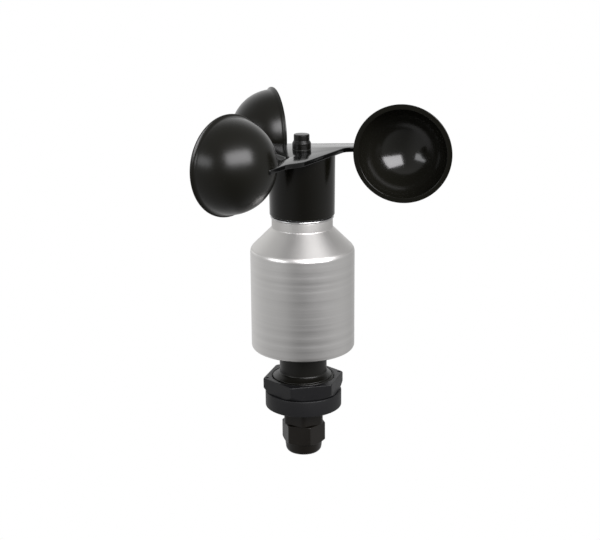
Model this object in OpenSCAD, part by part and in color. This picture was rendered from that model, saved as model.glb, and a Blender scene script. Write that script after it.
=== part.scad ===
// Three-cup anemometer: a cup rotor on a ball-bearing shaft over a turned aluminium
// housing, with a slotted-disc pick-up inside and a threaded stem and cable gland below.
// Origin: centre of the seating face under the housing, where a bracket bears. +Z is up.
// Cup 1 lies along +X and opens towards -Y; the rotor turns counter-clockwise seen from above.

/* [Rotor] */
// Radius from the rotor axis to each cup's centre
arm_r = 45.1; // [37.5:0.1:56]
// Outer radius of the half-ball of a cup
cup_r = 20.85; // [17.3:0.05:25.1]
// Wall of a cup
cup_wall = 1.2; // [0.8:0.1:2]
// How far the rim's lip stands out from the cup
lip_out = 1.05; // [0.6:0.05:1.4]
// Depth of the flare below the rim
lip_h = 2.6; // [2.2:0.1:4]
// Radius of the hollow flare under the lip
lip_fillet = 2.2; // [1.8:0.1:3]
// Thickness of the star plate
plate_t = 2.1; // [1.6:0.1:3]
// Angle from the line to a cup's centre to its arm's edges
arm_skew = 13.4; // [10:0.1:16]
// Distance of an arm's inner edge from the line through the axis
arm_edge = 3.8; // [2:0.1:6]
// Radius of the inside corners between the arms
arm_fillet = 4.5; // [3:0.1:6]
// How far an arm stands proud of the back of its cup
arm_proud = 0.7; // [0.4:0.1:1.5]
// Height of the skirt from its lower edge to the star plate
skirt_h = 27.2; // [22:0.1:34]
// Wall of the skirt at its lower edge
skirt_wall = 1.45; // [1.2:0.05:2.5]
// How much wider the skirt is at the top, as mould draft
skirt_draft = 0.25; // [0:0.05:0.6]

/* [Cap nut] */
// Radius of the cap nut's upper part
cap_top_r = 3.5; // [3.2:0.1:4.5]
// Radius of the cap nut's foot
cap_foot_r = 4.15; // [3.9:0.05:6]
// Height of the foot
cap_foot_h = 2.6; // [2:0.1:4]
// Height of the whole cap nut
cap_h = 6.5; // [5.5:0.1:9]
// Radius of the washer under it
washer_r = 4.2; // [3.5:0.05:7]
// Thickness of the washer
washer_t = 0.5; // [0.3:0.1:1]

/* [Housing] */
// Outer radius of the housing
body_r = 23.66; // [19.5:0.02:30]
// Height of the housing's straight side, with its rounded shoulder
body_h = 47.2; // [39:0.1:58]
// Wall of the housing around the electronics
body_wall = 2.66; // [2:0.02:3.5]
// Inner step that leaves a thicker wall round the base plug
seat_step = 1.5; // [1:0.1:2.5]
// Radius of the rounded lower edge
foot_round = 2; // [0.5:0.1:2.4]
// Radius of the rounded shoulder
shoulder_round = 2.5; // [1:0.1:4]
// Height of the straight neck
neck_h = 4.34; // [3:0.02:7]
// Metal of the neck around the bearing tube
neck_wall = 1.5; // [1.2:0.1:3]
// Height of the labyrinth ring on the neck
ring_h = 1; // [0.6:0.1:2]
// Running gap between the labyrinth ring and the skirt
rotor_gap = 0.5; // [0.3:0.05:1]

/* [Bearings] */
// Bore diameter of the ball bearings
bearing_bore = 6; // [5:0.1:7.2]
// Outside diameter of the ball bearings
bearing_od = 19; // [15.8:0.1:23]
// Width of the ball bearings
bearing_w = 6; // [5:0.1:7]
// Balls in one bearing
ball_count = 7; // [6:1:7]
// Wall of the bearing tube outside the bearings
tube_wall = 2.8; // [2:0.1:4]
// Running gap between the tube and the skirt
tube_gap = 0.9; // [0.5:0.1:2]

/* [Pick-up and board] */
// Windows in the slotted disc
slot_count = 24; // [12:1:36]
// Thickness of the slotted disc
disc_t = 0.6; // [0.4:0.1:1]
// Length of the board's pillars
pillar_h = 14.5; // [12.5:0.1:18]
// Thickness of the circuit board
board_t = 1.6; // [1:0.1:2]

/* [Stem and nuts] */
// Radius of the plain neck under the housing
stem_r = 10.9; // [8.6:0.1:13.1]
// Length of the plain neck
stem_neck_h = 11.3; // [9:0.1:14]
// Outer radius of the stem's thread
thread_r = 14.15; // [13:0.05:17]
// Wall of the lock nut at its flats
nut_wall = 2.3; // [1.9:0.05:4]
// Height of the lock nut
nut_h = 6.85; // [5:0.05:9]
// Distance from the seating face down to the lock nut
nut_drop = 13.55; // [12:0.05:17]
// Wall of the gland adapter round the thread
adapter_wall = 3.55; // [2:0.05:5]
// Height of the gland adapter
adapter_h = 7.65; // [6.3:0.05:12]

/* [Cable gland] */
// Outer radius of the gland's upper thread
gland_thread_r = 7.6; // [6:0.1:9]
// Size across flats of the gland's hexagons
gland_af = 18; // [16.5:0.1:21.6]
// Height of the gland body's hexagon
collar_h = 7.45; // [4:0.05:9]
// Height of the dome nut's hexagon
dome_hex_h = 9.4; // [6:0.1:11.3]
// Height of the rounded end below the hexagon
dome_h = 5.35; // [4:0.05:8]
// Radius of the hole for the cable
cable_r = 3.1; // [2:0.1:4]

/* [Hidden] */
$fn = 96;
fit_gap = 0.02; // pieces that are pressed, screwed or clamped together
slip_gap = 0.1; // pieces that drop into place
bond_gap = 0.04; // welded joint between an arm and its cup
cup_count = 3;
cup_turn = 360 / cup_count;

// Heights of the outside, from the seating face up
flange_t = 0.5;
shoulder_z = flange_t + body_h;
tube_r = bearing_od / 2 + tube_wall;
neck_r = tube_r + neck_wall;
neck_z = shoulder_z + body_r - neck_r;
neck_top = neck_z + neck_h;
ring_r = neck_r + 0.5;
skirt_z = neck_top + ring_h + rotor_gap;
plate_z = skirt_z + skirt_h;
plate_top = plate_z + plate_t;
cup_z = plate_top - 0.4;

// Rotor outline
skirt_in_r = tube_r + tube_gap;
hub_low_r = skirt_in_r + skirt_wall;
hub_top_r = hub_low_r + skirt_draft;
hub_edge = hub_top_r + 0.05;
cup_x = arm_r * cos(arm_skew);
cup_y = -arm_r * sin(arm_skew);
tip_y = cup_y + cup_r + arm_proud;
tip_x = cup_x + 1.5;
tip_round = 1.2;
waist_l = 11.3;
waist_end = cup_x - 9.9;
waist_start = waist_end - waist_l;

// Bearing stack
shaft_r = bearing_bore / 2;
boss_h = 3.6;
boss_r = 6.5;
shim_t = 1.5;
upper_z = plate_z - boss_h - shim_t - bearing_w;
ceiling_z = shoulder_z + 0.8;
tube_flange_t = 3;
tube_flange_z = ceiling_z - tube_flange_t;
lower_z = tube_flange_z + 4.5;
tube_top = upper_z + bearing_w + 2.1;
clip_t = 1;
clip_groove = 0.7;
shaft_clip_t = 0.8;
spring_t = 0.8;
outer_r = bearing_od / 2;
pitch_r = (shaft_r + outer_r) / 2;
ball_r = (outer_r - shaft_r) * 0.27;
race_gap = 0.04;
ring_lip = ball_r * 0.54;
inner_shoulder = pitch_r - ring_lip;
outer_shoulder = pitch_r + ring_lip;
cage_gap = 0.15;
shield_t = 0.3;
shield_inset = 0.1;
shield_seat = 0.7;
cage_headroom = 0.245;
cage_top = bearing_w / 2 - shield_inset - shield_t - cage_headroom;

// Drive pin and thread at the top of the shaft
pin_r = 0.75;
pin_z = plate_z - boss_h + 1.5;
stud_r = shaft_r - 0.5;
stud_h = cap_h + washer_t - 1.4;

// Inside of the housing
bore_r = body_r - body_wall;
seat_r = bore_r - seat_step;
seat_h = 11.5;
tube_flange_r = bore_r - 1.8;
screw_ring = (tube_r + tube_flange_r) / 2;
screw_r = 1.25;
board_r = seat_r - 0.5;
pillar_ring = board_r - 2.8;
pillar_r = 2.6;
board_top = tube_flange_z - pillar_h;
board_z = board_top - board_t;
hole_r = 1.6;
disc_r = pillar_ring - pillar_r - 1.1;
disc_z = board_top + 6.2;
disc_hub_r = 5;
disc_hub_h = 6.2;
spigot_r = 4;
grub_r = 1;
shaft_z = disc_z - 1.2;
slot_len = 2.6;
fork_in = disc_r - 3.2;
fork_out = disc_r + 5.4;
fork_w = 8;
fork_gap = 2.7;
fork_top = disc_z + 4.6;

// Electronics on the board
terminal_l = 15.6;
terminal_w = 8;
terminal_h = 8.6;
terminal_y = 3;
terminal_poles = 4;
terminal_pitch = 3.81;
can_r = 2.6;
can_h = 6;
arrester_l = 3.6;
arrester_w = 2;
arrester_h = 4.4;
arrester_pitch = 4.6;
chip_l = 5;
chip_w = 4;
chip_t = 1.5;
chip_pitch = 1.27;
head_r = 2.2;
head_h = 1.6;

// Base plug and stem
flange_r = bore_r;
plug_r = seat_r - fit_gap;
plug_h = 11;
plug_wall = 2.4;
plug_floor = 3;
oring_r = 0.75;
oring_z = 7.5;
stem_wall = 2.7;
stem_bore = stem_r - stem_wall;
cone_h = 1.2;
cone_out = 1.9;
lead_h = 1.05;
nut_z = -nut_drop - nut_h;
adapter_top = nut_z - 0.05;
adapter_z = adapter_top - adapter_h;
adapter_r = thread_r + adapter_wall;
adapter_floor = 2.3;
gasket_t = 0.6;
stem_z = adapter_z + adapter_floor + gasket_t;
nut_corner = (thread_r + nut_wall) / cos(30);
nut_turn = 26;
pocket_r = 0.8;
pocket_ring = thread_r + 2.95;

// Gland, from the adapter down
gland_gasket_t = 0.6;
collar_top = adapter_z - gland_gasket_t;
collar_z = collar_top - collar_h;
gland_turn = 43;
gland_up_h = 7;
gland_bore = gland_thread_r - 2.4;
dome_top = collar_z - 0.2;
dome_hex_z = dome_top - dome_hex_h;
dome_z = dome_hex_z - dome_h;
dome_corner = gland_af / 2 / cos(30);
low_thread_r = gland_af / 2 - 0.9;
low_thread_z = dome_hex_z + 1.6;
claw_z = low_thread_z - 3.2;
dome_r = gland_af / 2 - 0.5;
seal_out = gland_bore + 0.9;
seal_top = low_thread_z + 4.4;
seal_z = dome_z + 1.8;
mouth_r = cable_r + 1.6;

// ---------- helpers ----------

function arc(cx, cy, r, a0, a1, n) =
    [for (i = [0 : n]) let (a = a0 + (a1 - a0) * i / n) [cx + r * cos(a), cy + r * sin(a)]];

function turned(points, a) =
    [for (p = points) [p[0] * cos(a) - p[1] * sin(a), p[0] * sin(a) + p[1] * cos(a)]];

// A washer or sleeve from z0 to z1
module tube(r_out, r_in, z0, z1) {
    translate([0, 0, z0])
        difference() {
            cylinder(r = r_out, h = z1 - z0);
            translate([0, 0, -1]) cylinder(r = r_in, h = z1 - z0 + 2);
        }
}

// Copies of a child at n even angles on a ring
module on_ring(n, r, first = 0) {
    for (i = [0 : n - 1])
        rotate([0, 0, first + i * 360 / n]) translate([r, 0, 0]) children();
}

// ---------- rotor ----------

// One arm's share of the star outline, with the arm along +X
function arm_points() =
    let (t = (arm_edge + hub_edge / 2) / sin(60),
         corner_x = hub_edge * cos(30) + t / 2,
         fillet_x = corner_x + arm_fillet * tan(30))
    concat(
        arc(fillet_x, arm_edge - arm_fillet, arm_fillet, 150, 90, 6),
        [[cup_x, arm_edge], [tip_x, tip_y - 4]],
        arc(tip_x - tip_round, tip_y - tip_round, tip_round, 0, 90, 4),
        [for (i = [0 : 10]) [waist_end + (waist_start - waist_end) * i / 10,
                             tip_y + (hub_edge - tip_y) * (1 - cos(18 * i)) / 2]]
    );

module star_outline() {
    polygon([for (k = [0 : cup_count - 1])
                 for (p = turned(arm_points(), arm_skew + k * cup_turn)) p]);
}

module skirt() {
    rotate_extrude()
        polygon([[skirt_in_r, skirt_z], [hub_low_r - 0.5, skirt_z], [hub_low_r, skirt_z + 0.5],
                 [hub_top_r, plate_z + 0.5], [skirt_in_r, plate_z + 0.5]]);
}

module rotor_hub() {
    color("#1c1c1b")
        difference() {
            union() {
                translate([0, 0, plate_z]) linear_extrude(plate_t) star_outline();
                skirt();
                translate([0, 0, plate_z - boss_h]) cylinder(r = boss_r, h = boss_h + 0.5);
            }
            on_ring(cup_count, arm_r) translate([0, 0, cup_z]) sphere(r = cup_r + bond_gap);
            translate([0, 0, plate_z - boss_h - 1])
                cylinder(r = shaft_r + fit_gap, h = boss_h + plate_t + 2);
            // slot that the drive pin sits in
            translate([-boss_r - 1, -pin_r - fit_gap, plate_z - boss_h - 1])
                cube([2 * boss_r + 2, 2 * (pin_r + fit_gap), pin_z + pin_r + fit_gap
                      - plate_z + boss_h + 1]);
        }
}

// A cup about its own centre, opening towards -Y
module bowl() {
    join_r = sqrt(cup_r * cup_r - lip_h * lip_h);
    lip_r = cup_r + lip_out;
    rotate([90, 0, 0])
        difference() {
            union() {
                intersection() {
                    sphere(r = cup_r);
                    translate([0, 0, -2 * cup_r]) cylinder(r = 2 * cup_r, h = 2 * cup_r);
                }
                rotate_extrude()
                    difference() {
                        translate([join_r - cup_wall / 2, -lip_h])
                            square([lip_r - join_r + cup_wall / 2, lip_h]);
                        translate([join_r + lip_fillet, -lip_h]) circle(r = lip_fillet);
                    }
            }
            sphere(r = cup_r - cup_wall);
        }
}

module cup(k) {
    color("#1a1a19")
        rotate([0, 0, k * cup_turn]) translate([arm_r, 0, cup_z]) bowl();
}

module cap_nut() {
    z0 = plate_top + washer_t;
    color("#222220")
        translate([0, 0, z0])
            difference() {
                rotate_extrude()
                    polygon([[0, 0], [cap_foot_r, 0], [cap_foot_r, cap_foot_h],
                             [cap_top_r + 0.2, cap_foot_h + 0.8],
                             [cap_top_r, cap_foot_h + 1.2],
                             [cap_top_r, cap_h - 0.3], [cap_top_r - 0.3, cap_h], [0, cap_h]]);
                translate([0, 0, -1]) cylinder(r = stud_r + fit_gap, h = stud_h + 1);
            }
}

module cap_washer() {
    color("#2b2b2a") tube(washer_r, stud_r + slip_gap, plate_top, plate_top + washer_t);
}

module drive_pin() {
    color("#b9bbbd")
        translate([-boss_r + 0.6, 0, pin_z])
            rotate([0, 90, 0]) cylinder(r = pin_r, h = 2 * boss_r - 1.2);
}

module shaft() {
    color("#c4c6c8")
        difference() {
            union() {
                translate([0, 0, shaft_z]) cylinder(r = shaft_r, h = plate_top - 0.1 - shaft_z);
                translate([0, 0, plate_top - 0.5])
                    cylinder(r = stud_r, h = washer_t + stud_h - 0.3);
            }
            tube(shaft_r + 1, shaft_r - 0.4, lower_z - shaft_clip_t - fit_gap, lower_z);
            translate([-boss_r, 0, pin_z])
                rotate([0, 90, 0]) cylinder(r = pin_r + fit_gap, h = 2 * boss_r);
        }
}

module hub_shim() {
    color("#aeb0b2")
        tube(inner_shoulder - 0.5, shaft_r + fit_gap, upper_z + bearing_w,
             upper_z + bearing_w + shim_t);
}

module bearing_spacer() {
    color("#9fa2a4")
        tube(inner_shoulder - 0.6, shaft_r + fit_gap, lower_z + bearing_w, upper_z);
}

module shaft_circlip() {
    color("#3a3a3c")
        difference() {
            tube(inner_shoulder - 0.4, shaft_r - 0.4 + fit_gap, lower_z - shaft_clip_t, lower_z);
            translate([0, -0.9, lower_z - 2]) cube([boss_r, 1.8, 4]);
        }
}

// ---------- ball bearings, each with its lower face at z0 ----------

module ball_groove(z0) {
    translate([0, 0, z0 + bearing_w / 2])
        rotate_extrude() translate([pitch_r, 0]) circle(r = ball_r + race_gap);
}

module bearing_inner(z0) {
    color("#c9cbcd")
        difference() {
            tube(inner_shoulder, shaft_r + fit_gap, z0, z0 + bearing_w);
            ball_groove(z0);
        }
}

module bearing_outer(z0) {
    color("#c2c4c6")
        difference() {
            tube(outer_r, outer_shoulder, z0, z0 + bearing_w);
            ball_groove(z0);
            tube(outer_shoulder + shield_seat, 1, z0 - 1, z0 + shield_t + shield_inset);
            tube(outer_shoulder + shield_seat, 1, z0 + bearing_w - shield_t - shield_inset,
                 z0 + bearing_w + 1);
        }
}

module bearing_balls(z0) {
    color("#dfe1e3")
        on_ring(ball_count, pitch_r) translate([0, 0, z0 + bearing_w / 2]) sphere(r = ball_r);
}

// Snap-in crown cage: a ring over the balls with pockets that open downwards
module bearing_cage(z0) {
    middle = z0 + bearing_w / 2;
    color("#8f7a55")
        difference() {
            tube(outer_shoulder - cage_gap, inner_shoulder + cage_gap, middle - 0.5,
                 middle + cage_top);
            on_ring(ball_count, pitch_r) translate([0, 0, middle]) sphere(r = ball_r + 0.08);
        }
}

module bearing_shields(z0) {
    rim = outer_shoulder + shield_seat - fit_gap;
    color("#a7a9ab") {
        tube(rim, inner_shoulder + cage_gap, z0 + shield_inset,
             z0 + shield_inset + shield_t - fit_gap);
        tube(rim, inner_shoulder + cage_gap, z0 + bearing_w - shield_t - shield_inset + fit_gap,
             z0 + bearing_w - shield_inset);
    }
}

// Spring ring that snaps into the tube's bore
module bore_circlip(z0) {
    color("#38383a")
        difference() {
            tube(outer_r + clip_groove, outer_r - 1.4, z0 + fit_gap, z0 + clip_t - fit_gap);
            translate([0, -1.6, z0 - 1]) cube([2 * outer_r, 3.2, clip_t + 2]);
        }
}

// Three-wave spring washer that preloads the lower bearing
module wave_spring() {
    strip = 0.3;
    swing = (spring_t - strip) / 2 - fit_gap;
    steps = 48;
    r_in = outer_r - 2;
    r_out = outer_r - 0.3;
    points = [for (i = [0 : steps - 1])
                  let (a = 360 * i / steps, h = lower_z - spring_t / 2 + swing * cos(3 * a))
                  each [[r_in * cos(a), r_in * sin(a), h - strip / 2],
                        [r_out * cos(a), r_out * sin(a), h - strip / 2],
                        [r_out * cos(a), r_out * sin(a), h + strip / 2],
                        [r_in * cos(a), r_in * sin(a), h + strip / 2]]];
    faces = [for (i = [0 : steps - 1])
                 for (j = [0 : 3])
                     let (a = 4 * i, b = 4 * ((i + 1) % steps), k = (j + 1) % 4)
                     each [[a + j, b + k, a + k], [a + j, b + j, b + k]]];
    color("#77797b") polyhedron(points = points, faces = [for (f = faces) [f[2], f[1], f[0]]]);
}

// ---------- fixed frame ----------

module bearing_tube() {
    color("#a9abad")
        difference() {
            union() {
                translate([0, 0, tube_flange_z]) cylinder(r = tube_r, h = tube_top - tube_flange_z);
                translate([0, 0, tube_flange_z]) cylinder(r = tube_flange_r, h = tube_flange_t);
            }
            translate([0, 0, tube_flange_z - 1])
                cylinder(r = outer_r - 0.8, h = tube_top - tube_flange_z + 2);
            translate([0, 0, tube_flange_z - 1])
                cylinder(r = outer_r + fit_gap, h = lower_z + bearing_w - tube_flange_z + 1);
            translate([0, 0, upper_z])
                cylinder(r = outer_r + fit_gap, h = tube_top - upper_z + 1);
            for (z = [lower_z - spring_t - clip_t, upper_z + bearing_w])
                translate([0, 0, z]) cylinder(r = outer_r + clip_groove + fit_gap, h = clip_t);
            on_ring(3, screw_ring, 60)
                translate([0, 0, tube_flange_z - 1])
                    cylinder(r = screw_r + slip_gap, h = tube_flange_t + 2);
            on_ring(3, pillar_ring)
                translate([0, 0, tube_flange_z - 1])
                    cylinder(r = screw_r + fit_gap, h = tube_flange_t + 2);
        }
}

// Pan-head screw, head down, whose head's upper face is at z0
module pan_screw(z0, r, length) {
    translate([0, 0, z0 - head_h])
        difference() {
            union() {
                cylinder(r = head_r, h = head_h);
                cylinder(r = r, h = head_h + length);
            }
            // cross recess
            for (a = [0, 90])
                rotate([0, 0, a]) translate([-head_r * 0.6, -0.25, -1]) cube([head_r * 1.2, 0.5, 1.8]);
        }
}

module tube_screws() {
    color("#b4b6b8")
        on_ring(3, screw_ring, 60) pan_screw(tube_flange_z, screw_r, tube_flange_t + 3.2);
}

module labyrinth_ring() {
    bead = ring_h / 2;
    color("#d3d4d5")
        difference() {
            union() {
                tube(ring_r - bead, tube_r + fit_gap, neck_top, neck_top + ring_h);
                translate([0, 0, neck_top + bead])
                    rotate_extrude() translate([ring_r - bead, 0]) circle(r = bead);
            }
            tube(tube_r + fit_gap, 1, neck_top - 1, neck_top + ring_h + 1);
        }
}

module housing_shell() {
    color("#b6b7b9")
        difference() {
            rotate_extrude()
                polygon(concat(
                    [[0, flange_t]],
                    arc(body_r - foot_round, flange_t + foot_round, foot_round, -90, 0, 8),
                    arc(body_r - shoulder_round, shoulder_z - shoulder_round * tan(22.5),
                        shoulder_round, 0, 45, 6),
                    [[neck_r, neck_z], [neck_r, neck_top], [0, neck_top]]));
            // seat of the base plug, the electronics' bore and the ceiling
            translate([0, 0, flange_t - 1]) cylinder(r = seat_r, h = seat_h + 1);
            translate([0, 0, flange_t + seat_h])
                cylinder(r = bore_r, h = ceiling_z - 1.5 - flange_t - seat_h);
            translate([0, 0, ceiling_z - 1.5]) cylinder(r1 = bore_r, r2 = bore_r - 1.5, h = 1.5);
            translate([0, 0, flange_t]) cylinder(r = tube_r + fit_gap, h = neck_top);
            on_ring(3, screw_ring, 60)
                translate([0, 0, ceiling_z - 1]) cylinder(r = screw_r + fit_gap, h = 4.8);
        }
}

// ---------- pick-up and electronics ----------

module disc_hub() {
    z0 = disc_z + disc_t;
    color("#b59a55")
        difference() {
            union() {
                translate([0, 0, z0]) cylinder(r = disc_hub_r, h = disc_hub_h);
                translate([0, 0, disc_z - 0.3]) cylinder(r = spigot_r, h = disc_t + 0.8);
            }
            translate([0, 0, disc_z - 1]) cylinder(r = shaft_r + fit_gap, h = disc_hub_h + 3);
            translate([0, 0, z0 + disc_hub_h - 2.2])
                rotate([0, 90, 0]) cylinder(r = grub_r + fit_gap, h = disc_hub_r + 1);
        }
}

module disc_grub_screw() {
    length = disc_hub_r - shaft_r - 0.1;
    color("#404042")
        translate([shaft_r + 0.05, 0, disc_z + disc_t + disc_hub_h - 2.2])
            rotate([0, 90, 0])
                difference() {
                    cylinder(r = grub_r, h = length);
                    translate([0, 0, length - 0.8]) cylinder(r = 0.5, h = 1, $fn = 6);
                }
}

module slotted_disc() {
    color("#2a2a2c")
        difference() {
            tube(disc_r, spigot_r + fit_gap, disc_z, disc_z + disc_t);
            on_ring(slot_count, disc_r - slot_len - 0.9)
                translate([0, -0.5, disc_z - 1]) cube([slot_len, 1, disc_t + 2]);
        }
}

module opto_fork() {
    color("#26262a")
        rotate([0, 0, 60])
            difference() {
                translate([fork_in, -fork_w / 2, board_top])
                    cube([fork_out - fork_in, fork_w, fork_top - board_top]);
                translate([fork_in - 1, -fork_w / 2 - 1, disc_z + disc_t / 2 - fork_gap / 2])
                    cube([disc_r + 1 - fork_in + 1, fork_w + 2, fork_gap]);
                // foot cut back under the lower jaw
                translate([fork_in - 1, -fork_w / 2 - 1, board_top - 1])
                    cube([3, fork_w + 2, 2.6]);
            }
}

module circuit_board() {
    color("#2f6b3c")
        difference() {
            translate([0, 0, board_z]) cylinder(r = board_r, h = board_t);
            on_ring(3, pillar_ring) translate([0, 0, board_z - 1]) cylinder(r = hole_r, h = board_t + 2);
        }
}

module board_pillars() {
    color("#c0a65e")
        on_ring(3, pillar_ring) translate([0, 0, board_top])
            difference() {
                union() {
                    cylinder(r = pillar_r, h = pillar_h, $fn = 6);
                    cylinder(r = screw_r, h = pillar_h + tube_flange_t - 0.3);
                }
                translate([0, 0, -1]) cylinder(r = screw_r + fit_gap, h = 7);
            }
}

module board_screws() {
    color("#b4b6b8") on_ring(3, pillar_ring) pan_screw(board_z, screw_r, board_t + 5);
}

// Line driver with its legs, on the board's upper side
module driver_chip() {
    color("#232325")
        rotate([0, 0, 200]) translate([board_r * 0.52, 0, board_top]) {
            translate([-chip_w / 2, -chip_l / 2, 0.1]) cube([chip_w, chip_l, chip_t]);
            for (s = [-1, 1])
                for (i = [0 : 3])
                    translate([s * (chip_w / 2 + 0.3) - 0.5, (i - 1.5) * chip_pitch - 0.2, 0])
                        cube([1, 0.4, 0.3]);
        }
}

// Two can capacitors under the board
module capacitors() {
    color("#9a9ca0")
        for (a = [35, 85])
            rotate([0, 0, a]) translate([board_r * 0.58, 0, board_z - can_h])
                cylinder(r = can_r, h = can_h);
}

// Three disc-shaped surge arresters under the board
module surge_arresters() {
    color("#2b5a8a")
        for (i = [-1 : 1])
            translate([-board_r * 0.6 - arrester_w / 2, i * arrester_pitch - arrester_l / 2,
                       board_z - arrester_h])
                cube([arrester_w, arrester_l, arrester_h]);
}

module terminal_block() {
    color("#3d7d49")
        difference() {
            translate([-terminal_l / 2, -terminal_w - terminal_y, board_z - terminal_h])
                cube([terminal_l, terminal_w, terminal_h]);
            for (i = [0 : terminal_poles - 1])
                translate([(i - (terminal_poles - 1) / 2) * terminal_pitch, 0, 0]) {
                    // wire way and screw well of one pole
                    translate([-1.2, -terminal_w - terminal_y - 1, board_z - 4.2])
                        cube([2.4, 5, 2.4]);
                    translate([0, -terminal_w / 2 - terminal_y, board_z - terminal_h - 1])
                        cylinder(r = 1.4, h = 5);
                }
        }
}

module terminal_screws() {
    color("#b4b6b8")
        for (i = [0 : terminal_poles - 1])
            translate([(i - (terminal_poles - 1) / 2) * terminal_pitch,
                       -terminal_w / 2 - terminal_y, board_z - terminal_h + 1])
                difference() {
                    cylinder(r = 1.3, h = 3);
                    translate([-2, -0.2, -1]) cube([4, 0.4, 1.6]);
                }
}

// ---------- base, stem and nuts ----------

module base_stem() {
    color("#1f1f20")
        difference() {
            union() {
                cylinder(r = flange_r, h = flange_t);
                cylinder(r = plug_r, h = flange_t + plug_h);
                translate([0, 0, -stem_neck_h - 0.5]) cylinder(r = stem_r, h = stem_neck_h + 1);
                translate([0, 0, -stem_neck_h - cone_h])
                    cylinder(r1 = stem_r + cone_out, r2 = stem_r, h = cone_h);
                translate([0, 0, -stem_neck_h - cone_h - lead_h])
                    cylinder(r1 = thread_r, r2 = stem_r + cone_out, h = lead_h);
                translate([0, 0, stem_z])
                    cylinder(r = thread_r, h = -stem_neck_h - cone_h - lead_h - stem_z);
            }
            translate([0, 0, stem_z - 1]) cylinder(r = stem_bore, h = plug_h - stem_z + 4);
            translate([0, 0, stem_z - 1])
                cylinder(r = gland_thread_r + 0.5, h = gland_up_h - adapter_floor);
            translate([0, 0, plug_floor]) cylinder(r = plug_r - plug_wall, h = plug_h);
            tube(plug_r + 1, plug_r - 2 * oring_r, oring_z - oring_r - 0.1,
                 oring_z + oring_r + 0.1);
        }
}

module base_o_ring() {
    color("#151515")
        translate([0, 0, oring_z])
            rotate_extrude() translate([plug_r - oring_r - 0.02, 0]) circle(r = oring_r - 0.02);
}

module stem_gasket() {
    color("#3a3a3a")
        tube(thread_r - 0.4, gland_thread_r + 0.6, adapter_z + adapter_floor, stem_z);
}

module lock_nut() {
    color("#2c2c2e")
        translate([0, 0, nut_z])
            difference() {
                intersection() {
                    rotate([0, 0, nut_turn]) cylinder(r = nut_corner, h = nut_h, $fn = 6);
                    rotate_extrude()
                        polygon([[0, 0], [nut_corner - 1.95, 0], [nut_corner, 2.2],
                                 [nut_corner, nut_h - 0.4], [nut_corner - 0.5, nut_h], [0, nut_h]]);
                }
                translate([0, 0, -1]) cylinder(r = thread_r + fit_gap, h = nut_h + 2);
                translate([0, 0, nut_h - 0.5])
                    cylinder(r1 = thread_r, r2 = thread_r + 0.6, h = 0.6);
                // two pockets for a pin spanner
                on_ring(2, pocket_ring, nut_turn)
                    translate([0, 0, nut_h - 1.5]) cylinder(r = pocket_r, h = 2);
            }
}

module gland_adapter() {
    color("#2a2a2b")
        difference() {
            rotate_extrude()
                polygon([[0, adapter_z], [adapter_r - 0.6, adapter_z], [adapter_r, adapter_z + 0.4],
                         [adapter_r, adapter_top - 0.4], [adapter_r - 0.4, adapter_top],
                         [0, adapter_top]]);
            translate([0, 0, adapter_z + adapter_floor])
                cylinder(r = thread_r + fit_gap, h = adapter_h);
            translate([0, 0, adapter_z - 1]) cylinder(r = gland_thread_r + fit_gap, h = adapter_h);
        }
}

// ---------- cable gland ----------

module gland_gasket() {
    color("#151515")
        tube(gland_af / 2 - 0.2, gland_thread_r + fit_gap, collar_top, adapter_z);
}

module gland_body() {
    color("#242221")
        difference() {
            union() {
                translate([0, 0, collar_z])
                    rotate([0, 0, gland_turn])
                        intersection() {
                            cylinder(r = dome_corner, h = collar_h, $fn = 6);
                            cylinder(r = dome_corner - 0.45, h = collar_h);
                        }
                translate([0, 0, collar_top - 0.5]) cylinder(r = gland_thread_r, h = gland_up_h + 0.5);
                translate([0, 0, low_thread_z])
                    cylinder(r = low_thread_r, h = collar_z - low_thread_z + 0.5);
                // ring of clamping claws round the seal
                tube(seal_out + 1.2, seal_out + slip_gap, claw_z, low_thread_z + 0.5);
            }
            translate([0, 0, seal_top]) cylinder(r = gland_bore, h = 40);
            translate([0, 0, claw_z - 1]) cylinder(r = seal_out + slip_gap, h = seal_top - claw_z + 1);
            // slots between the claws
            for (i = [0 : 5])
                rotate([0, 0, i * 60]) translate([0, -0.4, claw_z - 1]) cube([20, 0.8, 4]);
        }
}

module gland_seal() {
    color("#0f0f0f")
        difference() {
            union() {
                tube(seal_out, cable_r, claw_z + 0.5, seal_top);
                tube(mouth_r, cable_r, seal_z, claw_z + 0.6);
            }
            translate([0, 0, seal_z - 1]) cylinder(r = cable_r, h = 30);
        }
}

module gland_dome_nut() {
    color("#242221")
        difference() {
            union() {
                translate([0, 0, dome_hex_z])
                    intersection() {
                        cylinder(r = dome_corner, h = dome_hex_h, $fn = 6);
                        rotate_extrude()
                            polygon([[0, 0], [dome_corner - 1.4, 0], [dome_corner, 0.9],
                                     [dome_corner, dome_hex_h - 0.4],
                                     [dome_corner - 0.5, dome_hex_h], [0, dome_hex_h]]);
                    }
                rotate_extrude()
                    polygon(concat(
                        [[0, dome_z], [mouth_r + 0.6, dome_z]],
                        arc(dome_r - 2.6, dome_z + 2.6, 2.6, -78, 0, 7),
                        [[dome_r + 0.25, dome_hex_z + 0.2], [0, dome_hex_z + 0.2]]));
            }
            translate([0, 0, low_thread_z - 0.4])
                cylinder(r = low_thread_r + fit_gap, h = dome_hex_h + 2);
            translate([0, 0, claw_z - 0.4])
                cylinder(r1 = seal_out + 1.3, r2 = low_thread_r - 0.4, h = low_thread_z - claw_z + 0.4);
            translate([0, 0, claw_z - 0.8]) cylinder(r = seal_out + 1.3, h = 0.5);
            translate([0, 0, dome_z - 1]) cylinder(r = mouth_r + slip_gap, h = dome_h + 2);
        }
}

// ---------- assembly ----------

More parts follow.
